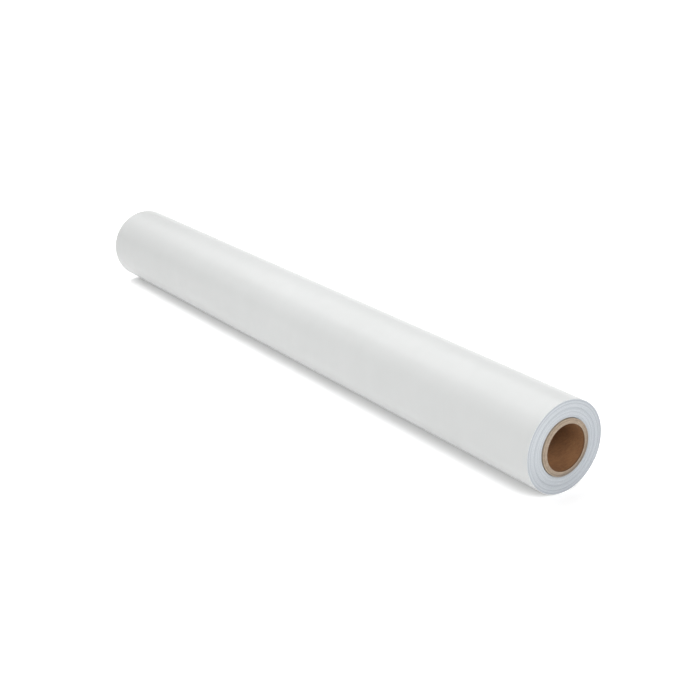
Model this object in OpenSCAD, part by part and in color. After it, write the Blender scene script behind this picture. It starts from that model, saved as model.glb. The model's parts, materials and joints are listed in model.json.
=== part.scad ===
// Roll of self-adhesive sign vinyl.
//
// A web of vinyl film on its release liner is wound, film outwards, on a
// spirally made paper core. The last part of the outer turn is the tail, which
// tape tabs hold down at the back of the roll. Once the tabs are free the tail
// unrolls until it is flat. It is built as a chain of narrow strips, because a
// sheet of this stiffness bends evenly along its length.
//
// Frame: the origin is the centre of the core's bore, halfway along it. X runs
// along the core and Z is up. Angles are in the YZ plane, from +Y towards +Z.

/* [Roll] */
// Width of the web
web_width = 1372; // [610:1:1524]
// Diameter of the wound roll, measured at the tail's edge
roll_diameter = 152.4; // [130:0.1:180]
// Thickness of the vinyl film with its adhesive
film_thickness = 0.105; // [0.08:0.005:0.15]
// Thickness of the release liner
liner_thickness = 0.145; // [0.1:0.005:0.2]

/* [Core] */
// Inside diameter of the core
core_bore = 76.2; // [70:0.1:80]
// Thickness of the brown kraft ply that lines the bore
lining_ply = 0.4; // [0.3:0.1:0.6]
// Thickness of all the board plies together
board_plies = 7.6; // [4:0.1:9]
// Thickness of the smooth ply on the outside
cover_ply = 0.4; // [0.3:0.1:0.6]
// Distance that the core stands out of the web at each end
core_proud = 3.2; // [0:0.1:6]

/* [Start of the web] */
// Thickness of the first turns, which sit back from the rest
start_turns = 0.8; // [0.5:0.05:1.5]
// Distance that the first turns sit back at each end
start_setback = 3; // [1:0.5:10]
// Thickness of the double-sided tape that holds the first turn on the core
start_tape_thickness = 0.15; // [0.12:0.01:0.2]
// Width of the double-sided tape
start_tape_width = 12; // [6:1:15]

/* [Tail] */
// Angle at which the tail ends
tail_end_angle = -30; // [-40:1:-20]
// Number of strips in the tail
tail_strips = 8; // [3:1:9]
// Arc that each strip covers, in degrees
strip_arc = 10; // [8:1:10]
// Gap between the tail and the turn beneath it
tail_lift = 0.3; // [0.1:0.05:0.5]
// Slit between one strip and the next
strip_slit = 0.3; // [0.1:0.05:0.5]

/* [Tape tabs] */
// Number of tape tabs along the tail's edge
tab_count = 3; // [2:1:5]
// Width of the tape
tab_width = 25; // [19:1:50]
// Thickness of the tape
tab_thickness = 0.14; // [0.1:0.01:0.2]
// Arc of each tab that is stuck on the tail, in degrees
tab_on_tail = 9; // [4:1:9]
// Arc of each tab that is stuck on the turn beneath, in degrees
tab_on_roll = 19; // [10:1:25]

/* [Hidden] */
$fn = 180;
web_thickness = film_thickness + liner_thickness;
roll_radius = roll_diameter / 2;
core_length = web_width + 2 * core_proud;
bore_radius = core_bore / 2;
board_inner = bore_radius + lining_ply;
board_outer = board_inner + board_plies;
core_radius = board_outer + cover_ply;
start_radius = core_radius + start_turns;
// The wound web is a two-centre spiral: each half turn is a true arc, and its
// centre lies this far to one side of the axis, then to the other.
spiral_shift = web_thickness / 4;
tail_arc = tail_strips * strip_arc;
// Radius of the tail's outer face, about the centre of the outermost half turn
tail_radius = roll_radius - spiral_shift + tail_lift;
slit_angle = strip_slit / roll_radius * 180 / PI;
start_tape_arc = start_tape_width / core_radius * 180 / PI;
start_tape_angle = 100;
tab_spacing = web_width / tab_count;
// A size that is larger than any section of the roll
beyond = 2 * roll_radius;
paper_tan = [0.80, 0.72, 0.60];
kraft_brown = [0.50, 0.34, 0.22];
liner_white = [0.84, 0.87, 0.90];
film_white = [0.95, 0.96, 0.95];
tape_cream = [0.90, 0.85, 0.70];
tape_clear = [0.80, 0.80, 0.72];

strip_numbers = [1:tail_strips];
tab_numbers = [1:tab_count];

// A section in the YZ plane, made into a solid of this length along X
module along_x(length, x = 0) {
    translate([x, 0, 0])
        rotate([90, 0, 90])
            linear_extrude(height = length, center = true) children();
}

module ring(outer, inner) {
    difference() {
        circle(outer);
        circle(inner);
    }
}

// The part of the plane between two angles, at most 180 degrees apart
module sector(from, to) {
    middle = (from + to) / 2;
    polygon([
        [0, 0],
        beyond * [cos(from), sin(from)],
        beyond * 1.5 * [cos(middle), sin(middle)],
        beyond * [cos(to), sin(to)]
    ]);
}

// Turns a section from the spiral's own angles, where the tail ends at 0
module in_place() {
    rotate(tail_end_angle) children();
}

// All of the section inside one turn of the spiral, whose radius is given at
// the tail's end. There the turn steps in by the thickness of the web.
module wound_disc(radius) {
    intersection() {
        translate([spiral_shift, 0]) circle(radius - spiral_shift);
        translate([-beyond, 0]) square([2 * beyond, beyond]);
    }
    intersection() {
        translate([-spiral_shift, 0]) circle(radius - 3 * spiral_shift);
        translate([-beyond, -beyond]) square([2 * beyond, beyond]);
    }
}

module core_ply(outer, inner) {
    along_x(core_length) ring(outer, inner);
}

module core_lining_ply() {
    color(kraft_brown) core_ply(board_inner, bore_radius);
}

module core_board_plies() {
    color(paper_tan) core_ply(board_outer, board_inner);
}

module core_cover_ply() {
    color(paper_tan) core_ply(core_radius, board_outer);
}

module start_tape_section() {
    intersection() {
        ring(core_radius + start_tape_thickness, core_radius);
        sector(start_tape_angle, start_tape_angle + start_tape_arc);
    }
}

// Double-sided tape along the core, under the first turn
module start_tape() {
    color(tape_clear)
        along_x(web_width - 4 * start_setback) start_tape_section();
}

// Every turn of the web but the outermost one
module wound_turns() {
    color(liner_white) {
        difference() {
            along_x(web_width - 2 * start_setback) ring(start_radius, core_radius);
            along_x(web_width - 4 * start_setback) start_tape_section();
        }
        along_x(web_width) difference() {
            in_place() wound_disc(roll_radius - web_thickness);
            circle(start_radius);
        }
    }
}

// One layer of the outermost turn, from where it leaves the turns beneath to
// where the tail begins. Depths are measured in from the roll's surface.
module outer_turn_layer(top, bottom) {
    along_x(web_width) in_place() difference() {
        wound_disc(roll_radius - top);
        wound_disc(roll_radius - bottom);
        translate([spiral_shift, 0]) sector(-slit_angle / 2, tail_arc + slit_angle / 2);
    }
}

module outer_turn_film() {
    color(film_white) outer_turn_layer(0, film_thickness);
}

module outer_turn_liner() {
    color(liner_white) outer_turn_layer(film_thickness, web_thickness);
}

// One layer of one strip of the tail. Strip 1 joins the outer turn, and the
// last strip ends at the tail's edge.
module strip_layer(number, top, bottom) {
    from = tail_arc - number * strip_arc;
    along_x(web_width) in_place() translate([spiral_shift, 0]) intersection() {
        ring(tail_radius - top, tail_radius - bottom);
        sector(from + slit_angle / 2, from + strip_arc - slit_angle / 2);
    }
}

module tail_film(number) {
    color(film_white) strip_layer(number, 0, film_thickness);
}

module tail_liner(number) {
    color(liner_white) strip_layer(number, film_thickness, web_thickness);
}

// A tab of paper tape over the tail's edge
module tape_tab(number) {
    x = (number - (tab_count + 1) / 2) * tab_spacing;
    color(tape_cream)
        along_x(tab_width, x) in_place() translate([spiral_shift, 0]) intersection() {
            ring(tail_radius + tab_thickness, tail_radius);
            sector(-tab_on_roll, tab_on_tail);
        }
}

core_lining_ply();
core_board_plies();
core_cover_ply();
start_tape();
wound_turns();
outer_turn_liner();
outer_turn_film();
for (i = strip_numbers) {
    tail_liner(i);
    tail_film(i);
}
for (i = tab_numbers) {
    tape_tab(i);
}
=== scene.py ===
from collections import namedtuple
import json
import math
import random

import bmesh
import bpy
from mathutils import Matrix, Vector


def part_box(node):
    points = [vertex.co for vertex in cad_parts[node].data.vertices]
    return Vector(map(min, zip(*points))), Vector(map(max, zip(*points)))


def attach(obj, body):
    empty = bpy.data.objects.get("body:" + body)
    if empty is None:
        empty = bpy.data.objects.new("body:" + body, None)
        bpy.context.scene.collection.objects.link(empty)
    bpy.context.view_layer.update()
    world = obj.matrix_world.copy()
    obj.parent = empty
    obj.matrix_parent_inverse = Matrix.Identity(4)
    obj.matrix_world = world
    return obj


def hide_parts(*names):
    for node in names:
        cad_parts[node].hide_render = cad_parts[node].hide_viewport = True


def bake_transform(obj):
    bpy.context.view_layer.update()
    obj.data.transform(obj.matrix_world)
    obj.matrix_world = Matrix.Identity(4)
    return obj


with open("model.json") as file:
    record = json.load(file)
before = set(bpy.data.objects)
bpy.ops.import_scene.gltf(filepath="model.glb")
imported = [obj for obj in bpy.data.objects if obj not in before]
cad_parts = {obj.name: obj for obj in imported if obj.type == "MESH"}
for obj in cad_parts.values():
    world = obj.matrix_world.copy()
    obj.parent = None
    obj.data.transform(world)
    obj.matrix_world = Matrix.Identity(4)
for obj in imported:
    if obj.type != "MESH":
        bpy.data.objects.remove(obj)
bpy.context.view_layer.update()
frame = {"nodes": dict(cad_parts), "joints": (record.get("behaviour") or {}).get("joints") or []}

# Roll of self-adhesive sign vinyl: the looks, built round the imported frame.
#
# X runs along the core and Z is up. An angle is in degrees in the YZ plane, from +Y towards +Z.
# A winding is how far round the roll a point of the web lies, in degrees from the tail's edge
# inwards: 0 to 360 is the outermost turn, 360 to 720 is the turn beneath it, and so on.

MM = 0.001
FULL_TURN = 360.0
HALF_TURN = 180.0
BOTH_ENDS = (1, -1)

# ---------------------------------------------------------------- sizes

# The web: film and liner, wound in a spiral of two centres
FILM = 0.105 * MM
LINER = 0.145 * MM
WEB = FILM + LINER
FILM_SHARE = FILM / WEB
ROLL_R = 76.2 * MM
# How far each of the two centres lies from the axis
SPIRAL_SHIFT = WEB / 4
# Half the web's width
WEB_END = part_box("outer_turn_film")[1].x
# How much the wound surface swells
SWELL = 0.012 * MM

# The first turns: their outside radius, and how far back from the rest they sit
START_R = 47.3 * MM
START_SETBACK = 3 * MM

# The core: the outside radius of its lining, of its board and of its cover, and half its length
LINING_PLY = 0.4 * MM
LINING_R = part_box("core_lining_ply")[1].y
BORE_R = LINING_R - LINING_PLY
BOARD_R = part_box("core_board_plies")[1].y
CORE_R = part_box("core_cover_ply")[1].y
CORE_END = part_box("core_board_plies")[1].x
# The plies of board
PLIES = 8
PLY = (BOARD_R - LINING_R) / PLIES
# How far along the core one turn of the lining's and the cover's helix goes
CORE_PITCH = 150 * MM
# From this radius outwards, the core's ends are worn round
SHOULDER_R = 42.3 * MM
# The middle of a ply of darker board
DARK_PLY_R = 44.1 * MM

# The tail, from the first hinge to its edge: the angle of its edge, and the arc of each strip
TAIL_EDGE_ANGLE = -30.0
STRIP_ARC = 10.0
# Each hinge joins one of these bodies to the next
STRIPS = len(frame["joints"])
TAIL_ARC = STRIPS * STRIP_ARC
# How far the whole tail is slack, how far its edge bows up between the tabs, and over which arc
TAIL_SLACK = 0.04 * MM
TAIL_BOW = 0.35 * MM
BOW_ARC = 3.2 * STRIP_ARC

# The tape tabs, and how many degrees of the tail and of the turn beneath they cover
TABS = sorted(name for name in frame["nodes"] if name.startswith("tape_tab"))
TAB_ON_TAIL = 9.0
TAB_ON_ROLL = 19.0

# Where some turns were wound a little further in: radius, width of the band and depth
SUNKEN_BANDS = [
    (73.8 * MM, 1.3 * MM, 0.32 * MM),
    (69.4 * MM, 0.9 * MM, 0.26 * MM),
    (61.9 * MM, 1.4 * MM, 0.26 * MM),
    (59.8 * MM, 0.6 * MM, 0.16 * MM),
    (55.6 * MM, 0.8 * MM, 0.20 * MM),
    (50.9 * MM, 0.7 * MM, 0.18 * MM),
]
# How much painted shade a sunken band gets for its depth
SHADE_PER_DEPTH = 1.9 / MM
# How far out from the first turns the painted shadow of the core reaches on the edges
CORE_SHADOW_REACH = 3 * MM
# The low side in front, which gets painted shade and a painted shadow: how much of it is +Y, and how
# much +Z
SHADED_SIDE = (0.64, -0.77)


# ---------------------------------------------------------------- the wound web

def smooth_step(value, low, high):
    """0 below low, 1 above high, and a smooth rise between them."""
    share = min(1.0, max(0.0, (value - low) / (high - low)))
    return share * share * (3 - 2 * share)


def sway(x, winding):
    """How far the wound surface swells at a place, from soft and hard spots in the winding."""
    # two waves along the roll and two round it, which don't keep in step
    angle = math.radians(winding)
    along = math.sin(x * 9.1 + 0.7) + 0.6 * math.sin(x * 23.0 + 2.0 * math.cos(angle) + 1.3)
    around = math.sin(2 * angle + x * 5.0) + 0.5 * math.sin(3 * angle - x * 11.0 + 0.4)
    return SWELL * (along + around)


def ring_point(x, radius, angle):
    """A point at a radius from the roll's axis. The angle is in radians."""
    return Vector((x, radius * math.cos(angle), radius * math.sin(angle)))


def web_point(x, winding, depth):
    """A point of the web, at a depth below the film's face."""
    half_turns = math.floor(winding / HALF_TURN)
    centre = SPIRAL_SHIFT if half_turns % 2 == 0 else -SPIRAL_SHIFT
    radius = ROLL_R - SPIRAL_SHIFT - 2 * SPIRAL_SHIFT * half_turns - depth
    edge = math.radians(TAIL_EDGE_ANGLE)
    angle = math.radians(winding) + edge
    y = centre * math.cos(edge) + radius * math.cos(angle)
    z = centre * math.sin(edge) + radius * math.sin(angle)
    return Vector((x, y, z))


def tab_middle(number):
    low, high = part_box(TABS[number])
    return (low.x + high.x) / 2


TAB_START = tab_middle(0)
TAB_SPACING = tab_middle(1) - TAB_START


def tail_lift(x, winding):
    """How far the tail stands off the turn beneath it. Its edge bows up between the tape tabs."""
    if winding > TAIL_ARC:
        return 0.0
    slack = TAIL_SLACK * smooth_step(TAIL_ARC - winding, 0, 2 * STRIP_ARC)
    from_tab = math.cos(2 * math.pi * (x - TAB_START) / TAB_SPACING)
    bow = TAIL_BOW * (1 - from_tab) / 2
    return slack + bow * smooth_step(-winding, -BOW_ARC, 0)


# ---------------------------------------------------------------- meshes

# Edges sharper than this angle aren't smoothed: on sheets, on cut ends and on the core's papers
SHEET_CREASE = 35
END_CREASE = 60
PLY_CREASE = 40


def add_piece(mesh, work, crease):
    """Fills the mesh from a bmesh and makes an object of it, smooth but for its sharp corners."""
    bmesh.ops.recalc_face_normals(work, faces=work.faces)
    work.to_mesh(mesh)
    work.free()
    mesh.shade_smooth()
    mesh.set_sharp_from_angle(angle=math.radians(crease))
    piece = bpy.data.objects.new(mesh.name, mesh)
    bpy.context.scene.collection.objects.link(piece)
    return piece


def make_piece(name, points, faces, materials, crease, slots=None, uvs=None):
    """An object from points and faces. slots holds a material's number per face, uvs a list."""
    mesh = bpy.data.meshes.new(name)
    mesh.from_pydata([tuple(p) for p in points], [], faces)
    for material in materials:
        mesh.materials.append(material)
    if slots:
        mesh.polygons.foreach_set("material_index", slots)
    if uvs:
        layer = mesh.uv_layers.new(name="web")
        flat = [number for face in uvs for corner in face for number in corner]
        layer.data.foreach_set("uv", flat)
    mesh.validate()
    work = bmesh.new()
    work.from_mesh(mesh)
    return add_piece(mesh, work, crease)


def thin_sheet(name, columns, rows, place, uv, material):
    """A closed sheet. place(i, j, side) gives a point of its top (side 0) or its back (side 1)."""
    width = rows + 1
    count = (columns + 1) * width
    points = [
        place(i, j, side)
        for side in (0, 1)
        for i in range(columns + 1)
        for j in range(rows + 1)
    ]
    faces = []
    uvs = []

    def add(corners):
        faces.append([side * count + i * width + j for i, j, side in corners])
        uvs.append([uv(i, j) for i, j, side in corners])

    for i in range(columns):
        for j in range(rows):
            square = [(i, j), (i + 1, j), (i + 1, j + 1), (i, j + 1)]
            add([(a, b, 0) for a, b in square])
            add([(a, b, 1) for a, b in reversed(square)])
    for i in range(columns):
        for j in (0, rows):
            add([(i, j, 0), (i + 1, j, 0), (i + 1, j, 1), (i, j, 1)])
    for j in range(rows):
        for i in (0, columns):
            add([(i, j, 0), (i, j + 1, 0), (i, j + 1, 1), (i, j, 1)])
    return make_piece(name, points, faces, [material], SHEET_CREASE, uvs=uvs)


def fit_to_roll(piece, node, slot):
    """Makes a piece ride on the roll's body, in the place of one of its CAD nodes."""
    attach(piece, "roll")
    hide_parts(node)


# ---------------------------------------------------------------- materials

# Colours, as linear red, green and blue
FILM_DARK = (0.486, 0.495, 0.491)
FILM_LIGHT = (0.510, 0.518, 0.514)
# painted shade for the far (-X) end of the film
FILM_FAR_END_SHADE = (0.385, 0.392, 0.389)
LINER_DARK = (0.70, 0.715, 0.72)
LINER_LIGHT = (0.78, 0.785, 0.78)
FILM_EDGE = (0.472, 0.496, 0.513)
LINER_EDGE = (0.356, 0.381, 0.412)
DARK_RING = (0.270, 0.288, 0.318)
# painted shade for the sunken bands of the end faces
BAND_PAINTED_SHADE = (0.250, 0.270, 0.300)
PATCH_GRIME = (0.370, 0.372, 0.380)
# painted shadow of the core on the turns' edges
CORE_PAINTED_SHADOW = (0.140, 0.130, 0.122)
BOARD_DARK = (0.240, 0.181, 0.130)
BOARD_LIGHT = (0.472, 0.376, 0.281)
BOARD_SHADE = (0.225, 0.182, 0.143)
BOARD_GLUE = (0.090, 0.062, 0.042)
BOARD_DARK_PLY = (0.160, 0.125, 0.095)
# painted shade for the low side of the core's cut ends
BOARD_PAINTED_SHADE = (0.125, 0.103, 0.085)
LINING_DARK = (0.165, 0.076, 0.032)
LINING_LIGHT = (0.320, 0.158, 0.066)
COVER_DARK = (0.250, 0.200, 0.148)
COVER_LIGHT = (0.345, 0.280, 0.212)
SCORCH = (0.060, 0.038, 0.024)
TAPE_DARK = (0.68, 0.58, 0.37)
TAPE_LIGHT = (0.84, 0.76, 0.55)
TISSUE_DARK = (0.62, 0.60, 0.50)
TISSUE_LIGHT = (0.78, 0.77, 0.70)
FLOOR_DARK = (0.965, 0.965, 0.965)
FLOOR_LIGHT = (0.975, 0.975, 0.975)
WHITE = (1, 1, 1, 1)


def is_socket(value):
    return isinstance(value, bpy.types.NodeSocket)


class Shader:
    """A Principled material, and short ways to add nodes to it."""

    # A Mix node has sockets for each type of data. These are its colours' numbers.
    MIX_COLOURS = (6, 7)
    MIX_RESULT = 2

    def __init__(self, name):
        self.material = bpy.data.materials.new(name)
        self.material.use_nodes = True
        self.tree = self.material.node_tree
        self.base = self.tree.nodes["Principled BSDF"]

    def add(self, kind, inputs=None, **settings):
        node = self.tree.nodes.new("ShaderNode" + kind)
        for key, value in settings.items():
            setattr(node, key, value)
        for key, value in (inputs or {}).items():
            self.feed(node.inputs[key], value)
        return node

    def feed(self, socket, value):
        if is_socket(value):
            self.tree.links.new(value, socket)
        else:
            socket.default_value = value

    def object_place(self):
        return self.add("TexCoord").outputs["Object"]

    def web_place(self):
        return self.add("UVMap", uv_map="web").outputs["UV"]

    def scaled(self, place, scale):
        return self.add("Mapping", {"Vector": place, "Scale": scale}).outputs["Vector"]

    def noise(self, place, scale, detail=3.0, rough=0.55):
        inputs = {"Vector": place, "Scale": scale, "Detail": detail, "Roughness": rough}
        return self.add("TexNoise", inputs).outputs["Fac"]

    def split(self, place):
        return self.add("SeparateXYZ", {"Vector": place}).outputs

    def join(self, x, y, z=0.0):
        return self.add("CombineXYZ", {"X": x, "Y": y, "Z": z}).outputs["Vector"]

    def from_axis(self):
        """The distance from the roll's axis."""
        _, y, z = self.split(self.object_place())
        return self.math("SQRT", self.math("MULTIPLY_ADD", y, y, self.math("MULTIPLY", z, z)))

    def towards_shaded_side(self):
        """How far a point lies from the axis towards the low side, which gets painted shade."""
        _, y, z = self.split(self.object_place())
        share_y, share_z = SHADED_SIDE
        return self.math("MULTIPLY_ADD", y, share_y, self.math("MULTIPLY", z, share_z))

    def math(self, operation, first, second=0.0, third=0.0):
        node = self.add("Math", {0: first, 1: second, 2: third}, operation=operation)
        return node.outputs[0]

    def off(self, value, middle):
        """How far a value is from the middle, either way."""
        return self.math("ABSOLUTE", self.math("SUBTRACT", value, middle))

    def mean(self, first, second, share):
        """The mean of two values. share is how much the first one counts."""
        return self.math("MULTIPLY_ADD", first, share, self.math("MULTIPLY", second, 1 - share))

    def spread(self, value, low, high, start=0.0, end=1.0):
        """Goes evenly from start to end while the value goes from low to high."""
        inputs = {"Value": value, "From Min": low, "From Max": high, "To Min": start, "To Max": end}
        return self.add("MapRange", inputs).outputs["Result"]

    def blend(self, share, first, second):
        """A mix of two colours, each a socket or its red, green and blue."""
        node = self.add("Mix", {"Factor": share}, data_type="RGBA")
        for number, colour in zip(self.MIX_COLOURS, (first, second)):
            self.feed(node.inputs[number], colour if is_socket(colour) else (*colour, 1))
        return node.outputs[self.MIX_RESULT]

    def colour(self, value):
        self.feed(self.base.inputs["Base Color"], value)

    def roughness(self, value):
        self.feed(self.base.inputs["Roughness"], value)

    def bump(self, height, distance):
        """Adds one more bump, on top of those that the shader already has."""
        node = self.add("Bump", {"Height": height, "Distance": distance, "Strength": 1.0})
        socket = self.base.inputs["Normal"]
        if socket.is_linked:
            self.tree.links.new(socket.links[0].from_socket, node.inputs["Normal"])
        self.tree.links.new(node.outputs["Normal"], socket)


def film_material():
    """White calendered film with a satin face: a very fine peel, and faint bands round the roll."""
    shader = Shader("film_face")
    place = shader.web_place()
    bands = shader.noise(shader.scaled(place, (0.6, 1.0, 1.0)), 26.0, 4.0, 0.6)
    clouds = shader.noise(place, 7.0, 3.0, 0.5)
    share = shader.spread(shader.mean(bands, clouds, 0.5), 0.3, 0.7)
    colour = shader.blend(share, FILM_DARK, FILM_LIGHT)
    # painted shade: the half at the -X end is painted darker, more so towards its end, where less
    # light falls
    _, along, _ = shader.split(place)
    far_end_shade = shader.spread(along, -WEB_END, 0.0, 0.40, 0.0)
    shader.colour(shader.blend(far_end_shade, colour, FILM_FAR_END_SHADE))
    rub = shader.noise(place, 60.0, 4.0, 0.65)
    shader.roughness(shader.spread(rub, 0.25, 0.75, 0.34, 0.43))
    peel = shader.noise(place, 1400.0, 2.0, 0.5)
    shader.bump(peel, 0.006 * MM)
    shader.bump(bands, 0.10 * MM)
    return shader.material


def liner_material():
    """The back of the release liner: clay-coated paper, off-white and almost matt."""
    shader = Shader("liner_back")
    place = shader.web_place()
    fibres = shader.noise(shader.scaled(place, (1.0, 0.35, 1.0)), 900.0, 5.0, 0.65)
    clouds = shader.noise(place, 55.0, 3.0, 0.5)
    share = shader.spread(shader.mean(fibres, clouds, 0.4), 0.35, 0.65)
    shader.colour(shader.blend(share, LINER_DARK, LINER_LIGHT))
    shader.roughness(shader.spread(clouds, 0.3, 0.7, 0.55, 0.7))
    shader.bump(fibres, 0.02 * MM)
    return shader.material


def edge_material():
    """The edges of all the turns: white film and bluish liner by turns, in soft rings."""
    shader = Shader("web_edges")
    around, turns, _ = shader.split(shader.web_place())
    whole_turns = shader.math("DIVIDE", around, 2 * math.pi)
    layer = shader.math("FRACT", shader.math("SUBTRACT", turns, whole_turns))
    is_film = shader.math("LESS_THAN", layer, FILM_SHARE)
    colour = shader.blend(is_film, LINER_EDGE, FILM_EDGE)
    # rings, where a few turns at a time are darker
    slow = shader.math("MULTIPLY", around, 0.5)
    fine = shader.noise(shader.join(shader.math("MULTIPLY", turns, 0.8), slow), 1.0, 2.0)
    wide = shader.noise(shader.join(shader.math("MULTIPLY", turns, 0.12), slow, 5.0), 1.0, 3.0)
    dark = shader.spread(shader.mean(fine, wide, 0.5), 0.30, 0.54, 0.7, 0.0)
    colour = shader.blend(dark, colour, DARK_RING)
    # painted shade in the sunken bands, and grime in small patches
    radius = shader.from_axis()
    for middle, width, depth in SUNKEN_BANDS:
        off = shader.off(radius, middle)
        shade = shader.spread(off, width / 4, width, depth * SHADE_PER_DEPTH, 0.0)
        colour = shader.blend(shade, colour, BAND_PAINTED_SHADE)
    patches = shader.noise(shader.object_place(), 220.0, 4.0, 0.6)
    grime = shader.spread(patches, 0.5, 0.8, 0.0, 0.2)
    colour = shader.blend(grime, colour, PATCH_GRIME)
    # painted shadow: the core's shadow on the edges beside its low side
    by_core = shader.spread(radius, START_R + CORE_SHADOW_REACH / 3, START_R + CORE_SHADOW_REACH, 1.0, 0.0)
    shaded_side = shader.spread(shader.towards_shaded_side(), 0.0, CORE_R, 0.0, 0.7)
    core_shadow = shader.math("MULTIPLY", by_core, shaded_side)
    shader.colour(shader.blend(core_shadow, colour, CORE_PAINTED_SHADOW))
    shader.roughness(shader.spread(fine, 0.3, 0.7, 0.45, 0.65))
    shader.bump(shader.noise(shader.object_place(), 2600.0, 2.0), 0.02 * MM)
    return shader.material


def board_material():
    """The cut end of the core: grey-brown board, with glue lines between its plies."""
    shader = Shader("board_edges")
    place = shader.object_place()
    fibres = shader.noise(place, 1500.0, 5.0, 0.7)
    patches = shader.noise(place, 160.0, 3.0, 0.6)
    share = shader.spread(shader.mean(fibres, patches, 0.55), 0.36, 0.64)
    colour = shader.blend(share, BOARD_DARK, BOARD_LIGHT)
    # each ply has its own shade, and one is darker still
    radius = shader.from_axis()
    ply = shader.math("DIVIDE", shader.math("SUBTRACT", radius, LINING_R), PLY)
    each = shader.noise(shader.join(shader.math("FLOOR", ply), 3.7), 1.3, 0.0)
    shade = shader.spread(each, 0.35, 0.65, 0.0, 0.45)
    colour = shader.blend(shade, colour, BOARD_SHADE)
    glue = shader.spread(shader.math("PINGPONG", ply, 0.5), 0.0, 0.16, 0.85, 0.0)
    colour = shader.blend(glue, colour, BOARD_GLUE)
    dark_ply = shader.spread(shader.off(radius, DARK_PLY_R), PLY / 2, 1.5 * PLY, 0.45, 0.0)
    colour = shader.blend(dark_ply, colour, BOARD_DARK_PLY)
    # painted shade: the low side is painted darker, most of all on the worn shoulder
    shaded_side = shader.spread(shader.towards_shaded_side(), 0.0, CORE_R, 0.0, 0.85)
    outwards = shader.spread(radius, LINING_R, SHOULDER_R + PLY, 0.1, 1.0)
    painted_shade = shader.math("MULTIPLY", shaded_side, outwards)
    shader.colour(shader.blend(painted_shade, colour, BOARD_PAINTED_SHADE))
    shader.roughness(shader.spread(fibres, 0.3, 0.7, 0.8, 0.98))
    shader.bump(fibres, 0.12 * MM)
    return shader.material


def paper_material(name, dark, light, streak_scale, scorched):
    """Core paper: long fibres along its strip, with specks. The saw has scorched its cut edge.

    scorched is how dark it is there, from 0 to 1.
    """
    shader = Shader(name)
    place = shader.object_place()
    x, y, z = shader.split(place)
    # streaks that follow the helix of the strip
    angle = shader.math("ARCTAN2", z, y)
    backwards = shader.math("MULTIPLY", x, -1.0)
    slanted = shader.math("MULTIPLY_ADD", angle, CORE_PITCH / (2 * math.pi), backwards)
    half_y = shader.math("MULTIPLY", y, 0.5)
    half_z = shader.math("MULTIPLY", z, 0.5)
    streaks = shader.noise(shader.join(slanted, half_y, half_z), streak_scale, 4.0, 0.65)
    fibres = shader.noise(place, 1300.0, 4.0, 0.7)
    patches = shader.noise(place, 45.0, 3.0, 0.5)
    tone = shader.math("MULTIPLY_ADD", streaks, 0.4, shader.math("MULTIPLY", fibres, 0.35))
    tone = shader.math("MULTIPLY_ADD", patches, 0.25, tone)
    colour = shader.blend(shader.spread(tone, 0.36, 0.64), dark, light)
    from_cut = shader.math("SUBTRACT", CORE_END, shader.math("ABSOLUTE", x))
    scorch = shader.spread(from_cut, 0.6 * MM, 3 * MM, scorched, 0.0)
    shader.colour(shader.blend(scorch, colour, SCORCH))
    shader.roughness(shader.spread(fibres, 0.3, 0.7, 0.74, 0.92))
    shader.bump(fibres, 0.05 * MM)
    return shader.material


def tape_material():
    """Creped masking tape: cream paper with fine cross ripples and blotches."""
    shader = Shader("crepe_tape")
    place = shader.web_place()
    crepe = shader.noise(shader.scaled(place, (1.0, 0.12, 1.0)), 2600.0, 3.0, 0.6)
    blotch = shader.noise(place, 170.0, 3.0, 0.5)
    share = shader.spread(shader.mean(crepe, blotch, 0.55), 0.35, 0.65)
    shader.colour(shader.blend(share, TAPE_DARK, TAPE_LIGHT))
    shader.roughness(shader.spread(crepe, 0.3, 0.7, 0.6, 0.8))
    shader.bump(crepe, 0.06 * MM)
    return shader.material


def tissue_material():
    """Double-sided tape: tissue between two coats of adhesive."""
    shader = Shader("tissue_tape")
    place = shader.scaled(shader.object_place(), (0.3, 1.0, 1.0))
    fibres = shader.noise(place, 1800.0, 4.0, 0.7)
    share = shader.spread(fibres, 0.35, 0.65)
    shader.colour(shader.blend(share, TISSUE_DARK, TISSUE_LIGHT))
    shader.roughness(shader.spread(fibres, 0.3, 0.7, 0.3, 0.55))
    shader.bump(fibres, 0.02 * MM)
    return shader.material


film_face = film_material()
liner_back = liner_material()
web_edges = edge_material()
board_edges = board_material()
lining_paper = paper_material("kraft_lining", LINING_DARK, LINING_LIGHT, 420.0, 0.65)
cover_paper = paper_material("cover_paper", COVER_DARK, COVER_LIGHT, 300.0, 0.1)
crepe_tape = tape_material()
tissue_tape = tissue_material()


# ---------------------------------------------------------------- the outermost turn and the tail

# How finely the sheets are divided: rows along the roll, and degrees from column to column
SHEET_ROWS = 64
OUTER_STEP = 1.5
TAIL_STEP = 0.5
# The narrow columns at both ends of a sheet
EDGE_STEP = 0.05
# The reach with which each bend would meet the next one at the same height and slope; bend_over_hinge
# doesn't read it
EVEN_REACH = 1 + math.sqrt(3)


def web_layer(name, windings, top, bottom, material):
    """One layer of the web through these windings, from one end of the roll to the other."""

    def x_at(j):
        return WEB_END * (2 * j / SHEET_ROWS - 1)

    def place(i, j, side):
        x = x_at(j)
        depth = bottom if side else top
        return web_point(x, windings[i], depth - tail_lift(x, windings[i]) - sway(x, windings[i]))

    def uv(i, j):
        return (math.radians(windings[i]) * ROLL_R, x_at(j))

    return thin_sheet(name, len(windings) - 1, SHEET_ROWS, place, uv, material)


def layers():
    """The film and the liner: name, depths of both faces, and material."""
    yield "film", 0.0, FILM, film_face
    yield "liner", FILM, WEB, liner_back


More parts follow.
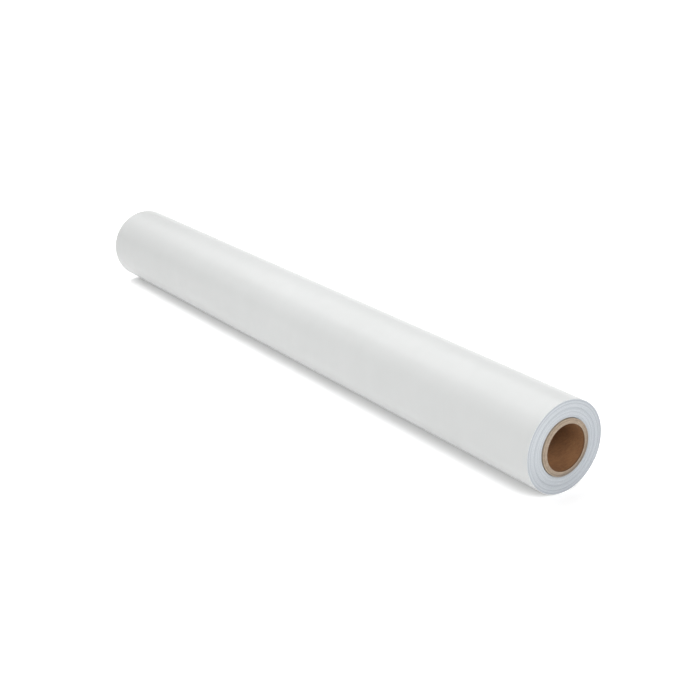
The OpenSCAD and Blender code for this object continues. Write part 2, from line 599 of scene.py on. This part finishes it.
def spread_out(start, end, step):
    """Windings from start to end, with a narrow step at both ends so that the shading joins up."""
    narrow = EDGE_STEP if end > start else -EDGE_STEP
    inner = end - start - 2 * narrow
    count = max(1, round(abs(inner) / step))
    return [start, *(start + narrow + inner * k / count for k in range(count + 1)), end]


def outer_turn():
    """The outermost turn, from half a strip before the first hinge to where it dives under."""
    windings = spread_out(TAIL_ARC + STRIP_ARC / 2, FULL_TURN, OUTER_STEP)
    for layer, top, bottom, material in layers():
        piece = web_layer(f"outer_{layer}", windings, top, bottom, material)
        fit_to_roll(piece, f"outer_turn_{layer}", layer)


def bend_over_hinge(piece, reach):
    """Bakes the piece's place into its mesh; it doesn't bend the piece. reach is not used."""
    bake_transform(piece)


def tail():
    """The tail: one piece round each hinge, from mid-strip to mid-strip. The pieces are not bent.

    Only the piece that leaves the roll is split at its hinge.
    """
    for number in range(1, STRIPS + 1):
        hinge = TAIL_ARC - (number - 1) * STRIP_ARC
        start = hinge + STRIP_ARC / 2
        end = 0.0 if number == STRIPS else hinge - STRIP_ARC / 2
        parts = [("bend", start, end, EVEN_REACH)]
        if number == 1:
            parts = [("leave", start, hinge, 1.0), ("bend", hinge, end, EVEN_REACH)]
        for part, first, last, reach in parts:
            windings = spread_out(first, last, TAIL_STEP)
            for layer, top, bottom, material in layers():
                piece = web_layer(f"tail_{layer}_{number}_{part}", windings, top, bottom, material)
                bend_over_hinge(piece, reach)
                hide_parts(f"tail_{layer}_{number}")


# ---------------------------------------------------------------- the turns beneath

# How finely the turns are divided: steps round each turn, and rows along the curved face
PACK_STEPS = 120
PACK_ANGLE = FULL_TURN / PACK_STEPS
PACK_ROWS = 24
# How many turns show on the end faces
PACK_TURNS = math.floor((ROLL_R - WEB - START_R) / WEB)
PACK_TOTAL = PACK_TURNS * PACK_STEPS
# How far back the outer corner of each turn's edge lies
EDGE_GROOVE = 0.045 * MM
# How far the turns' edges wander: over many turns, over a few, and each on its own
SLOW_WANDER = 0.06 * MM
QUICK_WANDER = 0.04 * MM
SCATTER = 0.04 * MM
WANDER_SEED = 3
# The numbers of the two materials
EDGE_SLOT = 0
FACE_SLOT = 1

# The points on one end of the turns: a row along the grooves, one along the ridges, and the rim
EndFace = namedtuple("EndFace", "grooves ridges rim")


class Parts:
    """The points and the faces of a mesh while it is put together."""

    def __init__(self):
        self.points = []
        self.faces = []
        self.slots = []
        self.uvs = []

    def put(self, point):
        self.points.append(point)
        return len(self.points) - 1

    def put_ring(self, x, radius):
        """A ring of points round the axis, in step with the windings."""
        angles = [math.radians(j * PACK_ANGLE + TAIL_EDGE_ANGLE) for j in range(PACK_STEPS)]
        return [self.put(ring_point(x, radius, angle)) for angle in angles]

    def face(self, corners, slot, uvs):
        self.faces.append(corners)
        self.slots.append(slot)
        self.uvs.append(uvs)


def wander_table(seed):
    """How far each turn's edge stands out, where the winding wandered to and fro."""
    draw = random.Random(seed)
    table = []
    # the last step takes a mean with the turn after its own
    for turn in range(PACK_TURNS + 2):
        # the middle of this turn, which has the outermost one above it
        radius = ROLL_R - WEB * (turn + 1.5)
        slow = SLOW_WANDER * math.sin(turn * 0.23 + seed)
        quick = QUICK_WANDER * math.sin(turn * 0.71 + 2 * seed)
        sunk = sum(
            depth * math.exp(-(((radius - middle) * 2 / width) ** 2))
            for middle, width, depth in SUNKEN_BANDS
        )
        table.append(slow + quick + draw.uniform(-SCATTER, SCATTER) - sunk)
    return table


def wander(table, winding):
    """How far the edge stands out at a winding, between two turns of the table."""
    turns = winding / FULL_TURN - 1
    turn = math.floor(turns)
    share = turns - turn
    return table[turn] * (1 - share) + table[turn + 1] * share


def pack_winding(i):
    """The winding at a step, counted from where the outermost turn ends."""
    return FULL_TURN + i * PACK_ANGLE


def edge_uvs(i, outer, inner):
    """The corners of one step of one layer's edge: angle round the roll, and turns inwards."""
    angle = math.radians(pack_winding(i % PACK_STEPS))
    turns = i / PACK_STEPS
    next_angle = angle + math.radians(PACK_ANGLE)
    next_turns = turns + 1 / PACK_STEPS
    return [
        (angle, turns + outer), (next_angle, next_turns + outer),
        (next_angle, next_turns + inner), (angle, turns + inner),
    ]


def end_face(parts, side):
    """One end of the turns: each turn has a groove and a ridge, and a rim lies round the hole."""
    table = wander_table(WANDER_SEED + side)
    grooves = []
    ridges = []
    for i in range(PACK_TOTAL + 1):
        winding = pack_winding(i)
        out = WEB_END + wander(table, winding)
        swell = sway(side * out, winding)
        grooves.append(parts.put(web_point(side * (out - EDGE_GROOVE), winding, -swell)))
        ridges.append(parts.put(web_point(side * out, winding, FILM - swell)))
    rim = parts.put_ring(side * WEB_END, START_R)
    for i in range(PACK_TOTAL):
        film = [grooves[i], grooves[i + 1], ridges[i + 1], ridges[i]]
        parts.face(film, EDGE_SLOT, edge_uvs(i, 0, FILM_SHARE))
        liner_uvs = edge_uvs(i, FILM_SHARE, 1)
        below = i + PACK_STEPS
        if below < PACK_TOTAL:
            inner = [grooves[below + 1], grooves[below]]
        elif below == PACK_TOTAL:
            # where the last turn ends in a step down to the rim
            inner = [rim[1], rim[0], ridges[-1], grooves[-1]]
            liner_uvs += [liner_uvs[-1]] * 2
        else:
            j = below - PACK_TOTAL
            inner = [rim[(j + 1) % PACK_STEPS], rim[j]]
        parts.face([ridges[i], ridges[i + 1], *inner], EDGE_SLOT, liner_uvs)
    return EndFace(grooves, ridges, rim)


def curved_face(parts, near, far):
    """The face round the turns, which shows where the tail is unrolled, with its one step."""

    def row_x(row):
        return WEB_END * (1 - 2 * row / PACK_ROWS)

    def uv(i, row):
        return (math.radians(pack_winding(i)) * ROLL_R, row_x(row))

    lines = []
    for i in range(PACK_STEPS + 1):
        winding = pack_winding(i)
        inner = [
            parts.put(web_point(row_x(row), winding, -sway(row_x(row), winding)))
            for row in range(1, PACK_ROWS)
        ]
        lines.append([near.grooves[i], *inner, far.grooves[i]])
    for i in range(PACK_STEPS):
        for row in range(PACK_ROWS):
            places = [(i, row), (i, row + 1), (i + 1, row + 1), (i + 1, row)]
            corners = [lines[a][b] for a, b in places]
            parts.face(corners, FACE_SLOT, [uv(a, b) for a, b in places])
    # the step where the outermost turn leaves this one
    for row in range(PACK_ROWS):
        corners = [lines[0][row], lines[0][row + 1], lines[-1][row + 1], lines[-1][row]]
        if row == 0:
            corners.append(near.ridges[0])
        if row == PACK_ROWS - 1:
            corners.insert(2, far.ridges[0])
        parts.face(corners, FACE_SLOT, [(0, 0)] * len(corners))


def core_hole(parts, near, far):
    """The hole for the core, with a narrow gap round it at each end, down to the first turns."""
    feet = []
    for side, end in zip(BOTH_ENDS, (near, far)):
        x = side * (WEB_END - START_SETBACK)
        ledge = parts.put_ring(x, START_R)
        foot = parts.put_ring(x, CORE_R)
        feet.append(foot)
        for j in range(PACK_STEPS):
            k = (j + 1) % PACK_STEPS
            angle = math.radians(j * PACK_ANGLE)
            next_angle = angle + math.radians(PACK_ANGLE)
            uvs = [(angle, 0), (angle, 1), (next_angle, 1), (next_angle, 0)]
            parts.face([end.rim[j], ledge[j], ledge[k], end.rim[k]], EDGE_SLOT, uvs)
            parts.face([ledge[j], foot[j], foot[k], ledge[k]], EDGE_SLOT, uvs)
    near_foot, far_foot = feet
    for j in range(PACK_STEPS):
        k = (j + 1) % PACK_STEPS
        corners = [near_foot[j], near_foot[k], far_foot[k], far_foot[j]]
        parts.face(corners, EDGE_SLOT, [(0, 0)] * 4)


def wound_turns():
    """All the turns but the outermost, as one body: every turn shows on its two end faces."""
    parts = Parts()
    near, far = [end_face(parts, side) for side in BOTH_ENDS]
    curved_face(parts, near, far)
    core_hole(parts, near, far)
    materials = [web_edges, film_face]
    piece = make_piece(
        "wound_web", parts.points, parts.faces, materials, END_CREASE, parts.slots, parts.uvs
    )
    fit_to_roll(piece, "wound_turns", "wound_web")


# ---------------------------------------------------------------- the core

CORE_STEPS = 144
SHOULDER_DEPTH = 0.7 * MM
LIP_WIDTH = 0.5 * MM
LIP_DEPTH = 0.25 * MM
# The cut ends of the board plies: the glue line's share of a ply, and how far each part lies back
PLY_SEED = 11
GLUE_SHARE = 0.12
GLUE_DEPTH = 0.16 * MM
LAST_GLUE_DEPTH = 0.12 * MM
PLY_RECESS = 0.13 * MM
FACE_WAVE = 0.03 * MM
SLOT_DEPTH = 0.3 * MM
# The joint of a spiral ply, where the edges of its strip meet
JOINT_WIDTH = 0.5 * MM
JOINT_DEPTH = 0.14 * MM
# How near to the cut a point has to be to count as lying on it
ON_CUT = 0.01 * MM
# Points of a cut that are nearer to each other than this become one
CUT_MERGE = 1e-7


def worn_depth(radius):
    """How far the cut end of the core is worn back: its outer plies are rounded over."""
    outer = max(0.0, (radius - SHOULDER_R) / (CORE_R - SHOULDER_R))
    inner = max(0.0, 1 - (radius - BORE_R) / LIP_WIDTH)
    return SHOULDER_DEPTH * outer ** 2 + LIP_DEPTH * inner ** 2


def board_profile():
    """The board's cut end, from the bore outwards: radius, depth, and the step with a slot."""
    draw = random.Random(PLY_SEED)
    profile = []
    for ply in range(PLIES):
        recess = draw.uniform(0.0, PLY_RECESS)
        slot_step = draw.randrange(CORE_STEPS)
        for share in (0.0, GLUE_SHARE, 0.5, 1 - GLUE_SHARE):
            radius = LINING_R + (ply + share) * PLY
            depth = recess if share else GLUE_DEPTH
            profile.append((radius, depth + worn_depth(radius), slot_step))
    profile.append((BOARD_R, LAST_GLUE_DEPTH + worn_depth(BOARD_R), None))
    return profile


def board_plies():
    """The board plies: each ply is a ring on the cut end, with the slot where its edges meet."""
    profile = board_profile()
    points = []
    faces = []
    for side in BOTH_ENDS:
        for radius, depth, slot_step in profile:
            for step in range(CORE_STEPS):
                angle = 2 * math.pi * step / CORE_STEPS
                wave = FACE_WAVE * (1 + math.sin(3 * angle + radius / PLY)) / 2
                at_slot = SLOT_DEPTH if step == slot_step else 0.0
                x = CORE_END - depth - max(wave, at_slot)
                points.append(ring_point(side * x, radius, angle))
    rows = len(profile)

    def index(end, row, step):
        return (end * rows + row) * CORE_STEPS + step % CORE_STEPS

    for step in range(CORE_STEPS):
        for end in (0, 1):
            for row in range(rows - 1):
                faces.append([
                    index(end, row, step), index(end, row + 1, step),
                    index(end, row + 1, step + 1), index(end, row, step + 1),
                ])
        for row in (0, rows - 1):
            faces.append([
                index(0, row, step), index(0, row, step + 1),
                index(1, row, step + 1), index(1, row, step),
            ])
    piece = make_piece("board_plies", points, faces, [board_edges], END_CREASE)
    fit_to_roll(piece, "core_board_plies", "core_board")


def helix_face(work, radius, sink, start):
    """A ply's shown face, longer than the core. Its rows follow the strip, with a sunken joint."""
    # the rows across the strip: the joint, and the plain paper up to the next one
    plain = [JOINT_WIDTH + (CORE_PITCH - JOINT_WIDTH) * share for share in (0.02, 0.34, 0.67)]
    stops = [0.0, JOINT_WIDTH * 0.25, JOINT_WIDTH * 0.75, JOINT_WIDTH, *plain]
    sinks = [0.0, sink, sink, 0.0, 0.0, 0.0, 0.0]
    per_turn = len(stops)
    turns = math.ceil(2 * CORE_END / CORE_PITCH) + 3
    first = -CORE_END - 2 * CORE_PITCH + start
    grid = []
    for row in range(turns * per_turn):
        turn, stop = divmod(row, per_turn)
        line = []
        for step in range(CORE_STEPS):
            share = step / CORE_STEPS
            x = first + (turn + share) * CORE_PITCH + stops[stop]
            point = ring_point(x, radius + sinks[stop], 2 * math.pi * share)
            line.append(work.verts.new(point))
        grid.append(line)
    for row in range(len(grid) - 1):
        for step in range(CORE_STEPS):
            # after a whole turn, a row goes on as the one that lies a pitch further along
            next_step = (step + 1) % CORE_STEPS
            next_row = row if next_step else row + per_turn
            if next_row + 1 < len(grid):
                work.faces.new([
                    grid[row][step], grid[next_row][next_step],
                    grid[next_row + 1][next_step], grid[row + 1][step],
                ])


def cut_ends(work, shown_end):
    """Cuts the shown face off where the core ends."""
    for side in BOTH_ENDS:
        everything = [*work.verts, *work.edges, *work.faces]
        bmesh.ops.bisect_plane(
            work, geom=everything, dist=CUT_MERGE,
            plane_co=(side * shown_end, 0, 0), plane_no=(side, 0, 0), clear_outer=True,
        )


def close_ply(work, shown_end, hidden):
    """Turns the shown face into a tube: its cut ends, and the face on the hidden radius."""
    loops = []
    for side in BOTH_ENDS:
        edges = [
            e for e in work.edges
            if e.is_boundary and all(v.co.x * side > shown_end - ON_CUT for v in e.verts)
        ]
        made = bmesh.ops.extrude_edge_only(work, edges=edges)["geom"]
        for vertex in (item for item in made if isinstance(item, bmesh.types.BMVert)):
            angle = math.atan2(vertex.co.z, vertex.co.y)
            vertex.co = ring_point(side * (CORE_END - worn_depth(hidden)), hidden, angle)
        loops += [item for item in made if isinstance(item, bmesh.types.BMEdge) and item.is_boundary]
    bmesh.ops.bridge_loops(work, edges=loops)


def spiral_ply(name, shown, hidden, material, start):
    """A single ply: its shown face has the helical joint where the strip's edges meet.

    shown and hidden are the radii of its two faces. start says how far the joint is moved along.
    """
    sink = JOINT_DEPTH if hidden > shown else -JOINT_DEPTH
    shown_end = CORE_END - worn_depth(shown)
    work = bmesh.new()
    helix_face(work, shown, sink, start)
    cut_ends(work, shown_end)
    close_ply(work, shown_end, hidden)
    mesh = bpy.data.meshes.new(name)
    mesh.materials.append(material)
    return add_piece(mesh, work, PLY_CREASE)


def core():
    board_plies()
    lining = spiral_ply("kraft_lining_ply", BORE_R, LINING_R, lining_paper, 62 * MM)
    fit_to_roll(lining, "core_lining_ply", "core_lining")
    cover = spiral_ply("smooth_cover_ply", CORE_R, BOARD_R, cover_paper, 20 * MM)
    fit_to_roll(cover, "core_cover_ply", "core_cover")


# ---------------------------------------------------------------- the tape

TAPE_SEED = 40
TAB_COLUMNS = 120
TAB_ROWS = 30
# The arc over which the tape steps down from the tail to the turn beneath
STEP_ARC = 1.3
# A torn end: how far in it reaches, as a share of the tab's length, how far its teeth stand out
# in degrees, and how long the shortest and the longest tooth are, as a share of that
TORN_SHARE = 0.03
TOOTH_ARC = 0.35
SHORT_TOOTH = 0.25
LONG_TOOTH = 0.75
# How far in from its CAD box the tape's sides lie, as a share of its width
TAPE_MARGIN = 0.02
# How far a tab may slant from end to end
TAPE_LEAN = 0.24 * MM
# The mean thickness of the creped paper, and how high its ripples are
TAPE_THICKNESS = 0.126 * MM
TAPE_RIPPLE = 0.012 * MM
# How far the tape stands off what it sticks to
TAPE_GAP = 0.005 * MM


def tab_surface(x, angle):
    """The depth of the face that the tape lies on, at an angle from the tail's edge."""
    on_tail = -tail_lift(x, max(angle, 0.0))
    share = smooth_step(-angle, 0.0, STEP_ARC)
    return on_tail * (1 - share) + WEB * share


def tape_tab(number):
    """A tab of creped paper tape, torn off at both ends, from the tail down over its edge."""
    low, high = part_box(TABS[number])
    draw = random.Random(TAPE_SEED + number)
    teeth = [
        draw.uniform(SHORT_TOOTH, LONG_TOOTH) * (1 if j % 2 else -1)
        for j in range(TAB_ROWS + 1)
    ]
    lean = draw.uniform(-TAPE_LEAN, TAPE_LEAN)
    width = high.x - low.x

    def angle_at(i, j):
        share = i / TAB_COLUMNS
        middle = TAB_ON_TAIL - (TAB_ON_ROLL + TAB_ON_TAIL) * share
        near_end = 1 - smooth_step(min(share, 1 - share), 0.0, TORN_SHARE)
        inwards = 1 if share < 0.5 else -1
        return middle - inwards * near_end * TOOTH_ARC * (1 + teeth[j])

    def place(i, j, side):
        angle = angle_at(i, j)
        across = TAPE_MARGIN + (1 - 2 * TAPE_MARGIN) * j / TAB_ROWS
        x = low.x + width * across + lean * (i / TAB_COLUMNS - 0.5)
        crepe = TAPE_RIPPLE * math.sin(i * 2.4 + 0.8 * math.sin(j * 0.9 + number))
        depth = tab_surface(x, angle) - (0.0 if side else TAPE_THICKNESS + crepe)
        winding = angle if angle >= 0 else FULL_TURN + angle
        offset = WEB if angle < 0 else 0.0
        return web_point(x, winding, depth - offset - sway(x, winding) - TAPE_GAP)

    def uv(i, j):
        return (math.radians(angle_at(i, j)) * ROLL_R, width * j / TAB_ROWS + number)

    piece = thin_sheet(f"masking_tape_{number + 1}", TAB_COLUMNS, TAB_ROWS, place, uv, crepe_tape)
    bend_over_hinge(piece, EVEN_REACH)
    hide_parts(TABS[number])


def start_tape():
    """The tape on the core keeps its CAD shape."""
    materials = frame["nodes"]["start_tape"].data.materials
    materials.clear()
    materials.append(tissue_tape)


outer_turn()
tail()
wound_turns()
core()
for tab_number in range(len(TABS)):
    tape_tab(tab_number)
start_tape()


# ---------------------------------------------------------------- the floor, the light and the camera

# From the middle of the floor to its edges
FLOOR_HALF = 30.0
FLOOR_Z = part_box("outer_turn_film")[0].z
# Light that the floor adds, as a lit studio sweep does
FLOOR_GLOW = 0.18

# Direction to each lamp, how wide it looks in degrees, and its strength
LAMPS = {
    "front_low": ((0.80, -0.20, 0.50), 30, 1.28),
    "front_high": ((0.60, -0.20, 0.77), 30, 1.02),
    "overhead": ((-0.57, 0.13, 0.82), 56, 2.02),
    "side": ((0.05, -0.72, 0.62), 60, 0.10),
    "left": ((-0.75, -0.38, 0.54), 36, 0.46),
    "back": ((-0.60, 0.75, 0.25), 50, 0.38),
}

# The surround fades between two heights, given as the sine of their angle above the horizon
FADE_START = 0.05
FADE_END = 0.45
LOW_SKY = 1.01
HIGH_SKY = 0.22

# The camera: its place, the way it looks in degrees, its lens and sensor in millimetres, and how
# far it sees
CAMERA_PLACE = (1.9204, -1.2664, 0.8047)
CAMERA_YAW = 144.71
CAMERA_PITCH = -20.49
CAMERA_LENS = 65.83
CAMERA_SENSOR = 36
CAMERA_REACH = 100


def floor():
    shader = Shader("pale_floor")
    grain = shader.noise(shader.object_place(), 900.0)
    shader.colour(shader.blend(grain, FLOOR_DARK, FLOOR_LIGHT))
    shader.roughness(0.9)
    shader.base.inputs["Emission Color"].default_value = WHITE
    shader.base.inputs["Emission Strength"].default_value = FLOOR_GLOW
    corners = [(-1, -1), (1, -1), (1, 1), (-1, 1)]
    points = [(FLOOR_HALF * x, FLOOR_HALF * y, FLOOR_Z) for x, y in corners]
    mesh = bpy.data.meshes.new("floor")
    mesh.from_pydata(points, [], [[0, 1, 2, 3]])
    mesh.materials.append(shader.material)
    plane = bpy.data.objects.new("floor", mesh)
    bpy.context.scene.collection.objects.link(plane)


def lights():
    for name, (direction, width, strength) in LAMPS.items():
        lamp = bpy.data.lights.new(name, "SUN")
        lamp.energy = strength
        lamp.angle = math.radians(width)
        place = bpy.data.objects.new(name, lamp)
        place.rotation_euler = Vector(direction).to_track_quat("Z", "Y").to_euler()
        bpy.context.scene.collection.objects.link(place)


def sky():
    """A white surround that darkens upwards."""
    world = bpy.data.worlds.new("studio")
    bpy.context.scene.world = world
    world.use_nodes = True
    nodes, links = world.node_tree.nodes, world.node_tree.links
    place = nodes.new("ShaderNodeTexCoord")
    split = nodes.new("ShaderNodeSeparateXYZ")
    fade = nodes.new("ShaderNodeMapRange")
    fade.interpolation_type = "SMOOTHSTEP"
    fade.inputs["From Min"].default_value = FADE_START
    fade.inputs["From Max"].default_value = FADE_END
    fade.inputs["To Min"].default_value = LOW_SKY
    fade.inputs["To Max"].default_value = HIGH_SKY
    links.new(place.outputs["Generated"], split.inputs["Vector"])
    links.new(split.outputs["Z"], fade.inputs["Value"])
    links.new(fade.outputs["Result"], nodes["Background"].inputs["Strength"])
    nodes["Background"].inputs["Color"].default_value = WHITE


def camera():
    data = bpy.data.cameras.new("camera")
    data.sensor_width = CAMERA_SENSOR
    data.lens = CAMERA_LENS
    data.clip_end = CAMERA_REACH
    eye = bpy.data.objects.new("camera", data)
    yaw = math.radians(CAMERA_YAW)
    pitch = math.radians(CAMERA_PITCH)
    level = math.cos(pitch)
    forward = Vector((math.cos(yaw) * level, math.sin(yaw) * level, math.sin(pitch)))
    eye.location = CAMERA_PLACE
    eye.rotation_euler = forward.to_track_quat("-Z", "Y").to_euler()
    bpy.context.scene.collection.objects.link(eye)
    bpy.context.scene.camera = eye


floor()
sky()
lights()
camera()
bpy.context.scene.view_settings.view_transform = "Standard"
